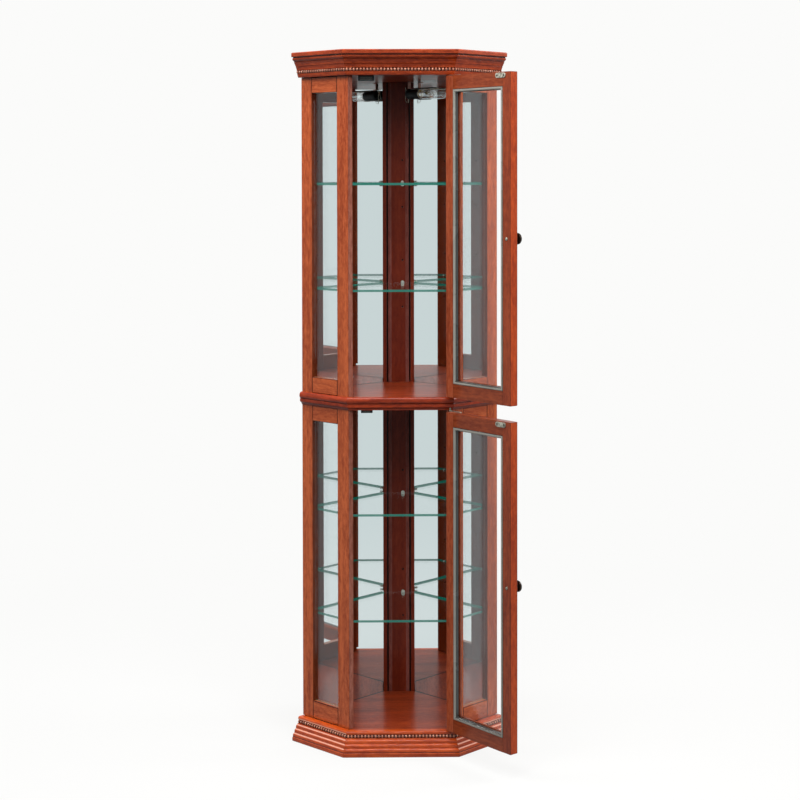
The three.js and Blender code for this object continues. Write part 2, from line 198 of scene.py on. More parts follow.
for name, place, aim, size, power in [
        ("softbox_top", (0.0, -0.8, 3.3), (0.0, 0.0, 0.6), 0.9, 34),
        ("softbox_front_left", (-0.9, -2.2, 2.7), (0.0, 0.1, 1.5), 1.2, 27),
        ("softbox_front_right", (1.5, -2.2, 2.6), (0.0, 0.1, 1.5), 1.1, 33),
        ("softbox_left", (-1.8, -0.1, 2.9), (-0.2, 0.1, 1.2), 0.9, 39),
        ("softbox_right", (2.6, 0.3, 2.7), (0.2, 0.1, 1.1), 1.0, 58)]:
    bpy.ops.object.light_add(type="AREA", location=place)
    softbox = bpy.context.object
    softbox.name = name
    softbox.data.shape = "SQUARE"
    softbox.data.size = size
    softbox.data.energy = power
    softbox.rotation_euler = (Vector(place) - Vector(aim)).to_track_quat("Z", "Y").to_euler()

# Side frames. Each side panel is two full-height cherry stiles and four rails, milled square, with
# every edge eased by sandpaper and then sprayed. Rows of small holes in the stiles take the shelf
# clamps. Grain runs along each board. Faces turned into the case are painted darker as shade.
MM = 0.001
GRAIN_TURN = {
    "upright": (0, 0, 0),
    "across": (0, radians(90), 0),
    "left": (0, radians(90), radians(-45)),
    "right": (0, radians(90), radians(45)),
}
# Colour of the painted highlights along the plinth's side crests.
PAINTED_CREST_HIGHLIGHT = (0.78, 0.44, 0.33, 1)


def shade(colour, share):
    return tuple(c * share for c in colour[:3]) + (1,)


def cherry(name, dark, light, turn, coat=0.4, coat_rough=0.10, inwards=None, shaded_grooves=(), painted_highlights=(),
           painted_shade_line=None):
    wood = new_finish(name)
    place = wood.place()
    along = wood.node("ShaderNodeMapping", {"vector_type": "TEXTURE"},
                      {"Vector": place, "Rotation": turn})["Vector"]
    drawn = wood.node("ShaderNodeMapping", sockets={"Vector": along, "Scale": (1, 1, 0.07)})["Vector"]
    short = wood.node("ShaderNodeMapping", sockets={"Vector": along, "Scale": (1, 1, 0.30)})["Vector"]
    figure = wood.noise(drawn, 18.0, 3.0, 0.55, 1.2)
    streak = wood.noise(drawn, 130.0, 4.0, 0.6, 0.4)
    mottle = wood.noise(short, 150.0, 4.0, 0.75, 0.3)
    blend = wood.spread(figure * 0.36 + streak * 0.20 + mottle * 0.44, 0.42, 0.58)
    pore = wood.spread(wood.noise(drawn, 700.0, 3.0, 0.6), 0.58, 0.72, 0.0, 0.45)
    colour = wood.mix(blend, dark, light)
    colour = wood.mix(pore, colour, shade(dark, 0.35))
    # Painted shade: faces marked in the piece's own attribute are darkened. These are reveals, grooves,
    # holes, bead necks and eased edges; at rail ends the mark is a dark joint.
    painted_shade_and_joints = wood.node("ShaderNodeAttribute", {"attribute_name": "paint_shade_and_joints"})["Fac"]
    spot = wood.axes(place)
    if painted_shade_line:
        painted_shade_and_joints = painted_shade_and_joints + ((abs(spot["X"]) + spot["Y"]) > painted_shade_line * MM)

    def band(z, half, strength):
        off = abs(spot["Z"] - z * MM)
        return wood.spread(off, (half - 0.4) * MM, (half + 0.4) * MM, strength, 0.0)

    # Painted shade: bands at the given heights are darkened in the grooves.
    for groove in shaded_grooves:
        painted_shade_and_joints = painted_shade_and_joints + band(*groove)
    # Painted highlights: pale bands along the given crests.
    for crest in painted_highlights:
        colour = wood.mix(band(*crest), colour, PAINTED_CREST_HIGHLIGHT)
    colour = wood.mix(painted_shade_and_joints, colour, shade(dark, 0.10))
    # Painted shade: faces turned in the given inward direction are darkened to seven tenths of the dark
    # stain.
    if inwards:
        colour = wood.mix(wood.along(wood.normal(), inwards) > 0.6, colour, shade(dark, 0.7))
    relief = wood.node("ShaderNodeBump", sockets={
        "Strength": 0.12, "Distance": 0.0003, "Height": streak * 0.7 - pore * 0.6})["Normal"]
    return wood.surface(
        Base_Color=colour, Roughness=0.44 - streak * 0.12, Specular_IOR_Level=0.06, Normal=relief,
        Coat_Weight=coat, Coat_Roughness=coat_rough, Coat_IOR=1.40)


SIDE_DARK = (0.240, 0.036, 0.007, 1)
SIDE_LIGHT = (0.480, 0.102, 0.028, 1)
SLANT = sqrt(0.5)
side_wood = {"left": {}, "right": {}}
for label, side in (("left", -1), ("right", 1)):
    for grain in ("upright", label):
        side_wood[label][grain] = cherry(
            f"side_cherry_{label}_{grain}", SIDE_DARK, SIDE_LIGHT, GRAIN_TURN[grain],
            inwards=(-side * SLANT, SLANT, 0))


def choose(piece):
    bpy.ops.object.select_all(action="DESELECT")
    piece.select_set(True)
    bpy.context.view_layer.objects.active = piece


def apply_modifier(piece, kind, **settings):
    modifier = piece.modifiers.new(kind.lower(), kind)
    for key, value in settings.items():
        setattr(modifier, key, value)
    choose(piece)
    bpy.ops.object.modifier_apply(modifier=modifier.name)


def carve(piece, cutter, operation="DIFFERENCE"):
    apply_modifier(piece, "BOOLEAN", object=cutter, operation=operation, solver="EXACT")
    bpy.data.objects.remove(cutter)


def ease(piece, width, segments=2, smooth=48):
    if width:
        apply_modifier(piece, "BEVEL", width=width * MM, segments=segments, limit_method="ANGLE",
                       angle_limit=radians(28))
    choose(piece)
    bpy.ops.object.shade_smooth_by_angle(angle=radians(smooth))
    apply_modifier(piece, "WEIGHTED_NORMAL", weight=100, keep_sharp=True)


# Marks faces to be darkened as painted shade, or as dark joints where rails meet stiles.
def paint_shade_and_joints(piece, chosen):
    marks = piece.data.attributes.new("paint_shade_and_joints", "FLOAT", "FACE")
    for face in piece.data.polygons:
        marks.data[face.index].value = chosen(piece, face)


def narrow(piece, face):
    ring = [piece.data.vertices[index].co for index in face.vertices]
    around = sum((b - a).length for a, b in zip(ring, ring[1:] + ring[:1]))
    return 2 * face.area < around * 1.4 * MM


def taken_from(node, name):
    piece = bpy.data.objects.new(name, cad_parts[node].data.copy())
    bpy.context.collection.objects.link(piece)
    choose(piece)
    bpy.ops.object.mode_set(mode="EDIT")
    bpy.ops.mesh.select_all(action="SELECT")
    bpy.ops.mesh.remove_doubles(threshold=0.00002)
    bpy.ops.mesh.dissolve_limited(angle_limit=radians(0.6))
    bpy.ops.object.mode_set(mode="OBJECT")
    return piece


def dress(piece, material, body, node=None):
    piece.data.materials.clear()
    piece.data.materials.append(material)
    if node:
        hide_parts(node)
    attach(piece, body)


def eased(node, material, body="cabinet", width=0.8, segments=2, smooth=48):
    piece = taken_from(node, "finished_" + node)
    ease(piece, width, segments, smooth)
    dress(piece, material, body, node)
    return piece


def settle(piece, location=(0, 0, 0), turn=(0, 0, 0)):
    piece.location = location
    piece.rotation_euler = turn
    choose(piece)
    bpy.ops.object.transform_apply(location=True, rotation=True, scale=True)


FRONT_HALF = 132.5
BOARD_THICK = 18


def side_point(side, along, inwards):
    return side * (FRONT_HALF + (along - inwards) * SLANT), (along + inwards) * SLANT


SHELF_MIDDLES = {"lower_1": 333.6, "lower_2": 607.4, "upper_1": 1185.0, "upper_2": 1458.6}
HOLE_STEP = 64
HOLE_RADIUS = 2.6
CLAMP_SEATS = {}
for label, side in (("left", -1), ("right", 1)):
    CLAMP_SEATS["front_stile_" + label] = (*side_point(side, 30, BOARD_THICK), side * -135)
    CLAMP_SEATS["rear_stile_" + label] = (*side_point(side, 156, BOARD_THICK), side * -135)
POST_FACE = 328
CLAMP_SEATS["corner_post"] = (11, POST_FACE, 180)


def drilled(node, material, width=0.8):
    piece = taken_from(node, "finished_" + node)
    x, y, facing = CLAMP_SEATS[node]
    bits = []
    for middle in SHELF_MIDDLES.values():
        for step in (-1, 0, 1):
            bpy.ops.mesh.primitive_cylinder_add(
                vertices=20, radius=HOLE_RADIUS * MM, depth=14 * MM,
                location=(x * MM, y * MM, (middle + step * HOLE_STEP) * MM),
                rotation=(radians(90), 0, radians(facing)))
            bits.append(bpy.context.object)
    choose(bits[0])
    for bit in bits:
        bit.select_set(True)
    bpy.ops.object.join()
    carve(piece, bits[0])
    ease(piece, width, 2)
    dress(piece, material, "cabinet", node)
    return piece


def turned_inward(face):
    inward = -SLANT if face.center.x > 0 else SLANT
    return face.normal.dot(Vector((inward, -SLANT, 0))) > 0.99


# Painted shade: the rear stiles' inward reveal faces are darkened strongly, and their narrow eased faces
# less.
def reveal(piece, face):
    return 0.75 if turned_inward(face) else 0.6 * narrow(piece, face)


# Painted shade: the narrow eased faces along the arrises are darkened.
def soft_arris(piece, face):
    return 0.6 * narrow(piece, face)


# Painted sheen: the front stiles' inward chamfer faces take a paler, pinker copy of the cherry.
bevel_painted_sheen = cherry("bevel_cherry_painted_sheen", (0.200, 0.054, 0.034, 1), (0.360, 0.140, 0.098, 1),
                    GRAIN_TURN["upright"])
for side in ("left", "right"):
    paint_shade_and_joints(drilled("rear_stile_" + side, side_wood[side]["upright"]), reveal)
    front_stile = drilled("front_stile_" + side, side_wood[side]["upright"])
    paint_shade_and_joints(front_stile, soft_arris)
    front_stile.data.materials.append(bevel_painted_sheen)
    for face in front_stile.data.polygons:
        if turned_inward(face) and not narrow(front_stile, face):
            face.material_index = 1
    for level in ("lower", "upper"):
        for end in ("bottom", "top"):
            # The rails darken all their narrow eased faces: dark joints at their ends, painted shade
            # along their other edges.
            paint_shade_and_joints(eased(f"side_rail_{level}_{end}_{side}", side_wood[side][side], width=1.6), narrow)

# Mouldings. Crown, waist and plinth are each run to one profile in solid cherry and mitred at the
# front corners. Their grooves are painted dark as shade, given as height, half width and strength,
# and the side strips of the plinth carry painted highlights along their crests, given the same way.
BEAD_ROWS = {"crown": (14.8, 1750.2), "plinth": (16.6, 47.4)}
SHADED_GROOVES = {
    "crown": [(1750.2, 4.6, 0.7), (1787.0, 1.9, 0.6), (1794.4, 5.4, 0.2), (1776.2, 1.3, 0.5),
              (1764.0, 0.9, 0.4)],
    "waist_moulding": [(897.5, 0.8, 0.8)],
    "plinth": [(47.4, 4.4, 0.7), (11.6, 1.0, 0.8)],
}
SIDE_PAINTED_HIGHLIGHTS = {
    "plinth": [(54.2, 1.2, 0.6), (39.6, 1.0, 0.6), (29.6, 1.0, 0.6), (19.6, 1.0, 0.6)],
}
for moulding, dark, light, coat in (
        ("crown", (0.180, 0.017, 0.002, 1), (0.410, 0.056, 0.011, 1), 0.36),
        ("waist_moulding", (0.150, 0.012, 0.001, 1), (0.340, 0.038, 0.008, 1), 0.4),
        ("plinth", (0.270, 0.027, 0.002, 1), (0.500, 0.072, 0.008, 1), 0.62)):
    for strip, grain in (("front", "across"), ("left", "left"), ("right", "right")):
        painted_highlights = SIDE_PAINTED_HIGHLIGHTS.get(moulding, ()) if strip != "front" else ()
        wood = cherry(f"{moulding}_cherry_{strip}", dark, light, GRAIN_TURN[grain], coat, 0.12,
                      shaded_grooves=SHADED_GROOVES[moulding], painted_highlights=painted_highlights)
        eased(f"{moulding}_{strip}", wood, width=0.3, smooth=32)

# Bead rows. Small turned cherry beads on a string, glued into the grooves of the crown and the
# plinth. They are lighter than the mouldings, and each one carries a bright spot of lacquer.
BEAD_PITCH = 8.7
REAR_CORNER = (256, 123.5)


def turned(name, profile, steps):
    bpy.ops.object.select_all(action="DESELECT")
    bpy.ops.mesh.primitive_plane_add(size=MM, location=(profile[0][0] * MM, 0, profile[0][1] * MM))
    piece = bpy.context.object
    piece.name = name
    bpy.ops.object.mode_set(mode="EDIT")
    bpy.ops.mesh.select_mode(type="VERT")
    bpy.ops.mesh.select_all(action="SELECT")
    bpy.ops.mesh.merge(type="CENTER")
    for (r0, z0), (r1, z1) in zip(profile, profile[1:]):
        bpy.ops.mesh.extrude_vertices_move(
            TRANSFORM_OT_translate={"value": ((r1 - r0) * MM, 0, (z1 - z0) * MM)})
    bpy.ops.mesh.select_all(action="SELECT")
    bpy.ops.mesh.spin(steps=steps, angle=2 * pi, center=(0, 0, 0), axis=(0, 0, 1))
    bpy.ops.mesh.select_all(action="SELECT")
    bpy.ops.mesh.remove_doubles(threshold=0.000005)
    bpy.ops.mesh.normals_make_consistent(inside=False)
    bpy.ops.object.mode_set(mode="OBJECT")
    choose(piece)
    bpy.ops.object.transform_apply(location=True, rotation=True, scale=True)
    bpy.ops.object.shade_smooth_by_angle(angle=radians(50))
    return piece


def copy_of(piece, name):
    copy = bpy.data.objects.new(name, piece.data.copy())
    bpy.context.collection.objects.link(copy)
    return copy


bead_wood = cherry("bead_cherry", (0.30, 0.085, 0.045, 1), (0.64, 0.26, 0.16, 1),
                   GRAIN_TURN["upright"], 1.0, 0.12)
bead = turned("bead", [
    (0.8, -4.35), (0.9, -2.6), (2.9, -2.5), (3.7, -1.8), (3.8, 0), (3.7, 1.8), (2.9, 2.5),
    (0.9, 2.6), (0.8, 4.35)], 12)


# Painted shade: each bead's neck and the faces turned to the next bead are darkened.
def neck(piece, face):
    near = hypot(face.center.x, face.center.y) < 2.6 * MM
    return 0.7 if near or abs(face.normal.z) > 0.7 else 0


paint_shade_and_joints(bead, neck)
for row, (out, z) in BEAD_ROWS.items():
    corner = FRONT_HALF + out * tan(pi / 8)
    rear = (REAR_CORNER[0] + out * SLANT, REAR_CORNER[1] - out * SLANT)
    for strip, start, end in (
            ("front", (-corner, -out), (corner, -out)),
            ("left", (-corner, -out), (-rear[0], rear[1])),
            ("right", (corner, -out), rear)):
        run = (Vector(end) - Vector(start)) * MM
        count = round(run.length / (BEAD_PITCH * MM))
        string = copy_of(bead, f"{row}_beads_{strip}")
        apply_modifier(string, "ARRAY", count=count, use_relative_offset=False, use_constant_offset=True,
                       constant_offset_displace=(0, 0, BEAD_PITCH * MM), use_merge_vertices=True,
                       merge_threshold=0.00002)
        bpy.ops.object.mode_set(mode="EDIT")
        bpy.ops.mesh.select_all(action="DESELECT")
        bpy.ops.mesh.select_mode(type="EDGE")
        bpy.ops.mesh.select_non_manifold(extend=False)
        bpy.ops.mesh.fill_holes(sides=0)
        bpy.ops.object.mode_set(mode="OBJECT")
        spare = run.length - count * BEAD_PITCH * MM
        first = Vector(start) * MM + run.normalized() * (spare / 2 + BEAD_PITCH * MM / 2)
        settle(string, (first.x, first.y, z * MM), (0, radians(90), atan2(run.y, run.x)))
        dress(string, bead_wood, "cabinet")
bpy.data.objects.remove(bead)

# Boards. Bottom deck, waist deck and top board are veneered panels in a dark, very glossy cherry,
# housed between the side frames.
# Painted shade: the decks are darkened beyond the line where they meet the mirrors.
deck_wood = cherry("deck_cherry", (0.120, 0.012, 0.003, 1), (0.255, 0.036, 0.009, 1),
                   GRAIN_TURN["across"], 0.36, 0.17, painted_shade_line=366.4)
ceiling_wood = cherry("ceiling_cherry", (0.125, 0.014, 0.004, 1), (0.280, 0.038, 0.012, 1),
                      GRAIN_TURN["across"], 0.21, 0.09)


# Painted shade: the boards' narrow rear edge faces are darkened.
def rear_edge(piece, face):
    return narrow(piece, face) and face.center.y > 0.02


for board, wood in (
        ("bottom_deck", deck_wood), ("waist_deck", deck_wood), ("top_board", ceiling_wood)):
    paint_shade_and_joints(eased(board, wood, width=1.7), rear_edge)

# Corner post. One dark upright of cherry stands across the room corner, with a bevel and a sawn
# groove on each side of its face and the same clamp holes as the stiles. The grooves and the insides
# of the holes are painted dark as shade, and the bevels are coloured lighter as a painted sheen.
post_wood = cherry("post_cherry", (0.108, 0.012, 0.004, 1), (0.162, 0.021, 0.007, 1),
                   GRAIN_TURN["upright"], 0.14, 0.16)


# Painted shade: faces inside the clamp holes and down in the sawn grooves are darkened.
def sunk(piece, face):
    depth = face.center.y / MM - POST_FACE
    in_hole = abs(face.center.x / MM - CLAMP_SEATS["corner_post"][0]) < 3 and 0.8 < depth < 8
    return in_hole or abs(face.center.x) < 33.2 * MM and 3.1 < depth < 6.5


# Painted sheen: the post's bevel faces take a paler, pinker copy of the post cherry.
post_slope_painted_sheen = cherry("post_slope_cherry_painted_sheen", (0.125, 0.032, 0.024, 1), (0.200, 0.062, 0.048, 1),
                         GRAIN_TURN["upright"], 0.14, 0.16)
post = drilled("corner_post", post_wood, 0.4)
paint_shade_and_joints(post, sunk)
post.data.materials.append(post_slope_painted_sheen)
for face in post.data.polygons:
    if face.normal.y < -0.9 and 0.2 < abs(face.normal.x) < 0.4:
        face.material_index = 1

# Back panels. Plain brown hardboard closes the back behind the mirrors, screwed to the stiles.
hardboard = new_finish("hardboard")
place = hardboard.place()
fibre = hardboard.noise(place, 320.0, 6.0, 0.7)
blotch = hardboard.noise(place, 9.0, 2.0)
relief = hardboard.node("ShaderNodeBump", sockets={
    "Strength": 0.25, "Distance": 0.0003, "Height": fibre})
hardboard_finish = hardboard.surface(
    Base_Color=hardboard.mix(fibre * 0.6 + blotch * 0.4, srgb(100, 78, 56), srgb(156, 126, 94)),
    Roughness=0.75, Normal=relief["Normal"])
for side in ("left", "right"):
    eased("back_panel_" + side, hardboard_finish, width=0.3)

# Mirrors. Four sheets of silvered float glass stand in front of the back panels: a bright even
# reflection with a faint cool cast, and green ground edges.
silver = new_finish("silvered_mirror")
upward = silver.axes(silver.normal())["Z"]
rim = (upward * upward) > 0.5
haze = silver.noise(silver.place(), 5.0, 2.0)
mirror_finish = silver.surface(
    Base_Color=silver.mix(rim, (0.86, 0.875, 0.87, 1), srgb(16, 40, 34)),
    Metallic=1 - rim, Roughness=0.006 + haze * 0.01)
for side in ("left", "right"):
    for level in ("lower", "upper"):
        eased(f"mirror_{level}_{side}", mirror_finish, width=0)


# Panes and shelves. Clear float glass: sight passes straight through, a slanting look brings up
# the reflection, and the ground edges are green, deepest on the thick shelves. The green edges
# also glow faintly, a painted light.
def clear_glass(name, shine, rise, gain, edge_colour=None, flat_sheet=False):
    glass = new_finish(name)
    slant = glass.node("ShaderNodeLayerWeight", sockets={"Blend": 0.5})["Facing"]
    film = shine + (slant ** rise) * gain
    place = glass.place()
    smear = glass.noise(place, 7.0, 2.0)
    gloss = 0.004 + smear * 0.012
    if not edge_colour:
        return glass.surface(Base_Color=(1, 1, 1, 1), Metallic=1.0, Roughness=gloss, Alpha=film)
    normal = glass.axes(glass.normal())
    level = (normal["Z"] * normal["Z"]) > 0.5
    behind = glass.axes(place)["Y"] > 0.3
    rear_cut = behind * ((normal["Y"] * normal["Y"]) > 0.8)
    edge = (1 - level) * (1 - rear_cut) if flat_sheet else level
    # Painted light: the green edges glow in their own colour.
    return glass.surface(
        Base_Color=glass.mix(edge, (1, 1, 1, 1), edge_colour), Metallic=1 - edge,
        Roughness=gloss, Alpha=film + edge * 0.85,
        Emission_Color=glass.mix(edge, (0, 0, 0, 1), edge_colour), Emission_Strength=0.5)


shelf_glass = clear_glass("shelf_glass", 0.02, 5.0, 0.28, srgb(4, 92, 78), True)
pane_glass = clear_glass("pane_glass", 0.04, 5.0, 0.8, srgb(50, 100, 86))
door_glass = clear_glass("door_glass", 0.035, 5.0, 0.8, srgb(50, 100, 86))
for side in ("left", "right"):
    for level in ("lower", "upper"):
        eased(f"side_glass_{level}_{side}", pane_glass, width=0)
for shelf in SHELF_MIDDLES:
    eased("glass_shelf_" + shelf, shelf_glass, width=0)

# Shelf clamps. Small oval nickel clamps with a slot for the glass, each on a spigot pushed into
# its hole: five to a shelf, one at each stile and one on the corner post.
nickel = new_finish("nickel")
place = nickel.place()
brushed = nickel.noise(place, 700.0, 3.0)
tarnish = nickel.noise(place, 170.0, 2.0)
worn = nickel.spread(brushed * 0.4 + tarnish * 0.6, 0.40, 0.60)
nickel_finish = nickel.surface(
    Base_Color=nickel.mix(worn, srgb(112, 106, 92), srgb(196, 191, 176)),
    Metallic=0.9, Roughness=0.34 + brushed * 0.16)


def box_cutter(low, high):
    centre = [(a + b) / 2 * MM for a, b in zip(low, high)]
    bpy.ops.object.select_all(action="DESELECT")
    bpy.ops.mesh.primitive_cube_add(size=1, location=centre)
    cutter = bpy.context.object
    cutter.scale = [(b - a) * MM for a, b in zip(low, high)]
    choose(cutter)
    bpy.ops.object.transform_apply(location=True, rotation=True, scale=True)
    return cutter


satin = new_finish("satin_nickel")
cloud = satin.noise(satin.place(), 160.0, 3.0)
clamp_finish = satin.surface(
    Base_Color=satin.mix(cloud, srgb(146, 154, 142), srgb(206, 210, 198)),
    Metallic=0.3, Roughness=0.22 + cloud * 0.1)
bpy.ops.object.select_all(action="DESELECT")
bpy.ops.mesh.primitive_cylinder_add(vertices=32, radius=4.6 * MM, depth=9 * MM,
                                    location=(0, 4.6 * MM, 0), rotation=(radians(90), 0, 0))
clamp = bpy.context.object
choose(clamp)
bpy.ops.object.transform_apply(location=True, rotation=True, scale=True)
for vertex in clamp.data.vertices:
    vertex.co.z += (3.2 if vertex.co.z > 0 else -3.2) * MM
ease(clamp, 1.1, 3, 40)
carve(clamp, box_cutter((-10, 1.7, -3.2), (10, 20, 3.2)))
bpy.ops.object.select_all(action="DESELECT")
bpy.ops.mesh.primitive_cylinder_add(vertices=20, radius=2.4 * MM, depth=5 * MM,
                                    location=(0, -2.2 * MM, 0), rotation=(radians(90), 0, 0))
spigot = bpy.context.object
carve(clamp, spigot, "UNION")
ease(clamp, 0, 0, 40)
for shelf, middle in SHELF_MIDDLES.items():
    for seat, (x, y, facing) in CLAMP_SEATS.items():
        piece = copy_of(clamp, f"shelf_clamp_{shelf}_{seat}")
        settle(piece, (x * MM, y * MM, middle * MM), (0, 0, radians(facing)))
        dress(piece, clamp_finish, "cabinet")
bpy.data.objects.remove(clamp)

# Magnetic catches. Black moulded housings under the ceiling and under the waist, with two steel
# pole strips in the face that meets the strike plate.
black = new_finish("black_plastic")
stipple = black.noise(black.place(), 900.0, 2.0)
relief = black.node("ShaderNodeBump", sockets={
    "Strength": 0.15, "Distance": 0.0002, "Height": stipple})
black_finish = black.surface(
    Base_Color=black.mix(stipple, srgb(14, 16, 18), srgb(30, 33, 36)), Specular_IOR_Level=0.2,
    Roughness=0.34 + stipple * 0.1, Normal=relief["Normal"])
dark_steel = new_finish("dark_steel")
scale = dark_steel.noise(dark_steel.place(), 400.0, 3.0)
dark_steel_finish = dark_steel.surface(
    Base_Color=dark_steel.mix(scale, srgb(44, 42, 40), srgb(104, 98, 88)),
    Metallic=0.8, Roughness=0.28 + scale * 0.2)
for level in ("lower", "upper"):
    eased("magnetic_catch_" + level, black_finish, width=1.2, segments=3)
    low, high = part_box("magnetic_catch_" + level)
    for rank, lift in (("low", 3.4), ("high", 8.2)):
        pole = box_cutter((low[0] / MM + 6, low[1] / MM - 0.8, low[2] / MM + lift),
                          (high[0] / MM - 6, low[1] / MM + 4, low[2] / MM + lift + 1.6))
        pole.name = f"catch_pole_{level}_{rank}"
        ease(pole, 0.25)
        dress(pole, dark_steel_finish, "cabinet")

# Lamp. An open black socket with a bright liner carries a clear tube bulb, which has a brass cap
# and a long filament held on wires. A narrow metal hood lies over both, and a bent bracket hangs
# the lamp from the ceiling.
LAMP_FOOT = Vector((26.87, 315.86, 1702)) * MM
LAMP = Matrix.Translation(LAMP_FOOT) @ Matrix.Rotation(radians(-45), 4, "Z")


def on_lamp(piece, material, node=None):
    piece.data.transform(LAMP)
    dress(piece, material, "cabinet", node)


def turned_on_lamp(name, profile, steps, material, node=None):
    piece = turned(name, profile, steps)
    settle(piece, turn=(0, radians(90), 0))
    on_lamp(piece, material, node)


def rods(name, runs, radius):
    made = []
    for start, end in runs:
        start, end = Vector(start) * MM, Vector(end) * MM
        bpy.ops.mesh.primitive_cylinder_add(
            vertices=8, radius=radius * MM, depth=(end - start).length, location=(start + end) / 2,
            rotation=(end - start).to_track_quat("Z", "Y").to_euler())
        made.append(bpy.context.object)
    choose(made[0])
    for rod in made:
        rod.select_set(True)
    bpy.ops.object.join()
    made[0].name = name
    settle(made[0])
    ease(made[0], 0)
    return made[0]


turned_on_lamp("finished_lamp_socket", [
    (0, 0), (8.6, 0), (9.2, 0.3), (12.8, 1.9), (13.3, 2.4), (14.3, 5.4), (14.5, 6.3), (14.5, 9),
    (14.0, 9.3), (14.0, 10.7), (14.5, 11), (14.5, 46.3), (14.3, 46.8), (13.7, 47), (12.8, 46.9),
    (12.55, 46.4), (12.5, 41.2), (12.3, 41), (0, 41)], 36, black_finish, "lamp_socket")
turned_on_lamp("lamp_socket_liner", [
    (11.4, 41.3), (12.4, 41.3), (12.4, 46.4), (13.2, 47.1), (12.9, 47.5), (11.9, 47.4), (11.4, 46.8),
    (11.4, 41.3)], 36, nickel_finish)
brass = new_finish("brass")
dull = brass.noise(brass.place(), 150.0, 3.0)
brass_finish = brass.surface(
    Base_Color=brass.mix(dull, srgb(128, 104, 42), srgb(204, 178, 92)), Metallic=0.9,
    Roughness=0.3 + dull * 0.1)
turned_on_lamp("lamp_bulb_cap", [
    (0, 41.5), (10.4, 41.5), (10.4, 42.6), (9.9, 43.2), (10.4, 43.8), (10.4, 44.6), (9.9, 45.2),
    (10.4, 45.8), (10.2, 46.8), (8.4, 47.4), (4.6, 47.6), (4, 50.4), (2, 51.6), (0, 51.8)], 32,
    brass_finish)
bulb_glass = clear_glass("bulb_glass", 0.22, 2.0, 0.7)
turned_on_lamp("finished_lamp_bulb", [
    (0, 52), (6, 51.6), (8.8, 50.4), (9.8, 48), (10.8, 47.6), (12, 48.6), (13.4, 51), (14, 54.5),
    (14, 88), (13.8, 91.5), (13, 94.8), (11.4, 97.6), (9, 100), (6, 101.7), (3, 102.4),
    (0, 102.5)], 36, bulb_glass, "lamp_bulb")
filament = rods("lamp_filament", [
    ((51, 0, 0), (96, 0, 0)), ((50, -2, -1), (56, -6, -4)), ((56, -6, -4), (92, -6, -4)),
    ((50, 2, -1), (56, 6, -4)), ((56, 6, -4), (92, 6, -4)), ((92, -6, -4), (62, -4.5, 6)),
    ((62, -4.5, 6), (92, 0, 8)), ((92, 0, 8), (62, 4.5, 6)), ((62, 4.5, 6), (92, 6, -4)),
    ((92, 0, 0), (92, 0, 8)), ((62, 0, 0), (62, -4.5, 6)), ((62, 0, 0), (62, 4.5, 6))], 0.5)
on_lamp(filament, nickel_finish)
hood_metal = new_finish("hood_metal")
upward = hood_metal.axes(hood_metal.normal())["Z"]
dust = hood_metal.noise(hood_metal.place(), 130.0, 3.0)
outside = hood_metal.mix(dust, srgb(16, 17, 18), srgb(34, 35, 36))
inside = hood_metal.mix(dust, srgb(168, 162, 146), srgb(200, 194, 180))
hood_finish = hood_metal.surface(
    Base_Color=hood_metal.mix(upward > -0.2, inside, outside), Roughness=0.35 + dust * 0.1)
eased("lamp_hood", hood_finish, width=0.2, smooth=50)
tinned = new_finish("bracket_metal")
cloud = tinned.noise(tinned.place(), 90.0, 3.0)
bracket_finish = tinned.surface(
    Base_Color=tinned.mix(cloud, srgb(140, 96, 84), srgb(196, 150, 136)), Metallic=0.6,
    Roughness=0.35 + cloud * 0.1)
eased("lamp_bracket", bracket_finish, width=0.2)

# Door frames. Each leaf is a cherry frame with a rebate and an eased front edge. The stiles run
# the full height and the rails butt between them. The hinge stile is coloured lighter than the free
# stile and the rails. The free stile's outer edge face is coloured lighter still as painted light,
# and the narrow eased faces are darkened as painted shade.
DOOR_PIN = Vector((127.2, -3.3, 0)) * MM
DOOR_OPEN = radians(128)
HUNG = (Matrix.Translation(DOOR_PIN) @ Matrix.Rotation(DOOR_OPEN, 4, "Z")
        @ Matrix.Translation(-DOOR_PIN))
DOOR_LOW = {"lower": 62.3, "upper": 917.4}
DOOR_TALL = 816
RAIL_HALF = 93.3
RAIL_REACH = 43.55
door_upright = {
    "free": cherry("door_cherry_free", (0.140, 0.018, 0.004, 1), (0.264, 0.045, 0.012, 1),
                   GRAIN_TURN["upright"]),
    "hinge": cherry("door_cherry_hinge", (0.185, 0.030, 0.010, 1), (0.345, 0.076, 0.030, 1),
                    GRAIN_TURN["upright"])}
door_edge_painted_light = cherry("door_cherry_edge_painted_light", (0.240, 0.024, 0.003, 1), (0.450, 0.062, 0.009, 1),
                        GRAIN_TURN["upright"])
door_across = cherry("door_cherry_across", (0.128, 0.018, 0.004, 1), (0.240, 0.044, 0.012, 1),
                     (0, radians(90), DOOR_OPEN))


def hang(piece):
    piece.data.transform(HUNG)
    piece.data.update()
    return piece


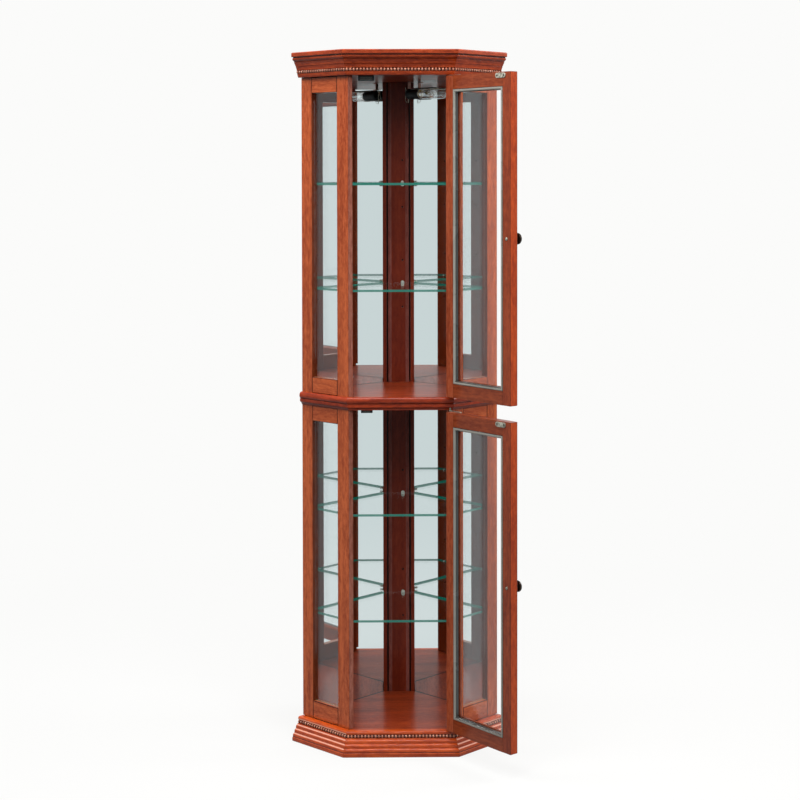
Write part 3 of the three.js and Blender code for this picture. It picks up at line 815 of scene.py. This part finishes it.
for level, low in DOOR_LOW.items():
    high = low + DOOR_TALL
    node = "door_frame_" + level
    body = level + "_door"
    for end, z0, z1 in (("bottom", low - 5, low + RAIL_REACH), ("top", high - RAIL_REACH, high + 5)):
        rail = taken_from(node, f"door_rail_{level}_{end}")
        carve(rail, hang(box_cutter((-RAIL_HALF, -20, z0), (RAIL_HALF, 30, z1))), "INTERSECT")
        ease(rail, 1.0, 2)
        paint_shade_and_joints(rail, narrow)
        dress(rail, door_across, body, node)
    for hand, edge in (("free", -1), ("hinge", 1)):
        stile = taken_from(node, f"door_stile_{level}_{hand}")
        left, right = sorted((0, edge * 140))
        carve(stile, hang(box_cutter((left, -20, low - 5), (right, 30, high + 5))), "INTERSECT")
        for z0, z1 in ((low - 10, low + RAIL_REACH), (high - RAIL_REACH, high + 10)):
            carve(stile, hang(box_cutter((-RAIL_HALF, -25, z0), (RAIL_HALF, 35, z1))))
        ease(stile, 1.0, 3)
        paint_shade_and_joints(stile, soft_arris)
        dress(stile, door_upright[hand], body, node)
        # Painted light: the free stile's outer edge face takes a brighter copy of the cherry.
        stile.data.materials.append(door_edge_painted_light)
        outward = HUNG.to_3x3() @ Vector((edge, 0, 0))
        for face in stile.data.polygons:
            if face.normal.dot(outward) > 0.99 and hand == "free":
                face.material_index = 1
    eased("door_glass_" + level, door_glass, body, width=0)

# Glazing beads. A grey half-round strip, mitred at the corners, holds each pane in its rebate.
bead_grey = new_finish("grey_bead")
haze = bead_grey.noise(bead_grey.place(), 16.0, 2.0)
normal = bead_grey.normal()
# Painted shade: faces turned away from the door's face, and faces turned upward, are coloured dark grey.
turned_away = bead_grey.along(normal, HUNG.to_3x3() @ Vector((0, 1, 0)))
crest = bead_grey.mix(haze, srgb(112, 110, 102), srgb(150, 148, 140))
crest = bead_grey.mix(bead_grey.axes(normal)["Z"] > 0.12, crest, srgb(50, 47, 43))
bead_finish = bead_grey.surface(
    Base_Color=bead_grey.mix(turned_away > 0.4, srgb(44, 42, 39), crest),
    Roughness=0.22 + haze * 0.1)
for level in DOOR_LOW:
    eased("glazing_bead_" + level, bead_finish, level + "_door", width=0.2, smooth=50)

# Knobs. A turned mushroom knob in dark antique bronze on each free stile, with its screw from the
# inside of the door.
bronze = new_finish("antique_bronze")
patina = bronze.noise(bronze.place(), 240.0, 4.0)
bronze_finish = bronze.surface(
    Base_Color=bronze.mix(patina, srgb(22, 17, 14), srgb(62, 48, 38)),
    Metallic=0.7, Roughness=0.08 + patina * 0.10)
KNOB_ACROSS = -106.8
DOOR_FACE = -9.3
for level, low in DOOR_LOW.items():
    knob = turned("finished_door_knob_" + level, [
        (0, 0), (8.2, 0), (8.5, 0.3), (8.5, 1.1), (8.1, 1.6), (6.6, 2.3), (5.2, 2.8), (4.6, 3.5),
        (4.4, 4.6), (4.6, 5.8), (6.0, 7.0), (9.2, 8.1), (12.6, 9.1), (13.9, 10.1), (14.4, 11.3),
        (14.2, 12.5), (13.4, 13.7), (11.8, 14.8), (9.6, 15.7), (8.9, 15.6), (8.2, 16.0),
        (5.6, 16.7), (2.8, 17.1), (0, 17.2)], 40)
    settle(knob, (KNOB_ACROSS * MM, DOOR_FACE * MM, (low + DOOR_TALL / 2) * MM), (radians(90), 0, 0))
    hang(knob)
    dress(knob, bronze_finish, level + "_door", "door_knob_" + level)

# Strike plates and hinge leaves. Flat nickel-plated steel, stamped, with screws through them.
for level in DOOR_LOW:
    eased("strike_plate_" + level, nickel_finish, level + "_door", width=0.35, smooth=50)
    for end in ("bottom", "top"):
        eased(f"hinge_leaf_{level}_{end}", nickel_finish, level + "_door", width=0.2, smooth=50)

# Screws. Cross-head screws with low domed heads: two pressed flat into each strike plate, one
# with a dark washer behind each knob, and two rows that hold each back panel.
CASE_DEPTH = 379.5
screw = turned("screw", [(0, 1.25), (1.2, 1.2), (2.2, 0.9), (2.9, 0.4), (3.1, -0.4), (0, -0.4)], 20)
carve(screw, box_cutter((-1.9, -0.35, 0.5), (1.9, 0.35, 3)))
carve(screw, box_cutter((-0.35, -1.9, 0.5), (0.35, 1.9, 3)))
ease(screw, 0, 0, 40)
for level, low in DOOR_LOW.items():
    high = low + DOOR_TALL
    for spot, x, z, y, size in (
            ("strike_free", -98.2, high - 8.5, 17.7, 1.0),
            ("strike_middle", -73.8, high - 8.5, 17.7, 1.0),
            ("knob", KNOB_ACROSS, high - DOOR_TALL / 2, 16.0, 1.25)):
        piece = copy_of(screw, f"screw_{level}_{spot}")
        piece.scale = (size, size, size if spot == "knob" else 0.25)
        settle(piece, (x * MM, y * MM, z * MM), (radians(-90), 0, 0))
        hang(piece)
        dress(piece, nickel_finish if spot == "knob" else dark_steel_finish, level + "_door")
    washer = turned("knob_washer_" + level, [
        (1.6, 0), (5.0, 0), (5.0, 0.3), (4.7, 0.5), (1.6, 0.5), (1.6, 0)], 28)
    settle(washer, (KNOB_ACROSS * MM, 15.5 * MM, (high - DOOR_TALL / 2) * MM), (radians(-90), 0, 0))
    hang(washer)
    dress(washer, bronze_finish, level + "_door")
for label, side in (("left", -1), ("right", 1)):
    row = []
    for along in (24, 330):
        for step in range(9):
            piece = copy_of(screw, f"back_screws_{label}")
            spot = (side * along * SLANT, CASE_DEPTH - along * SLANT, 60 + step * 205)
            settle(piece, [c * MM for c in spot], (radians(-90), 0, radians(-45 * side)))
            row.append(piece)
    choose(row[0])
    for piece in row:
        piece.select_set(True)
    bpy.ops.object.join()
    dress(row[0], dark_steel_finish, "cabinet")
bpy.data.objects.remove(screw)
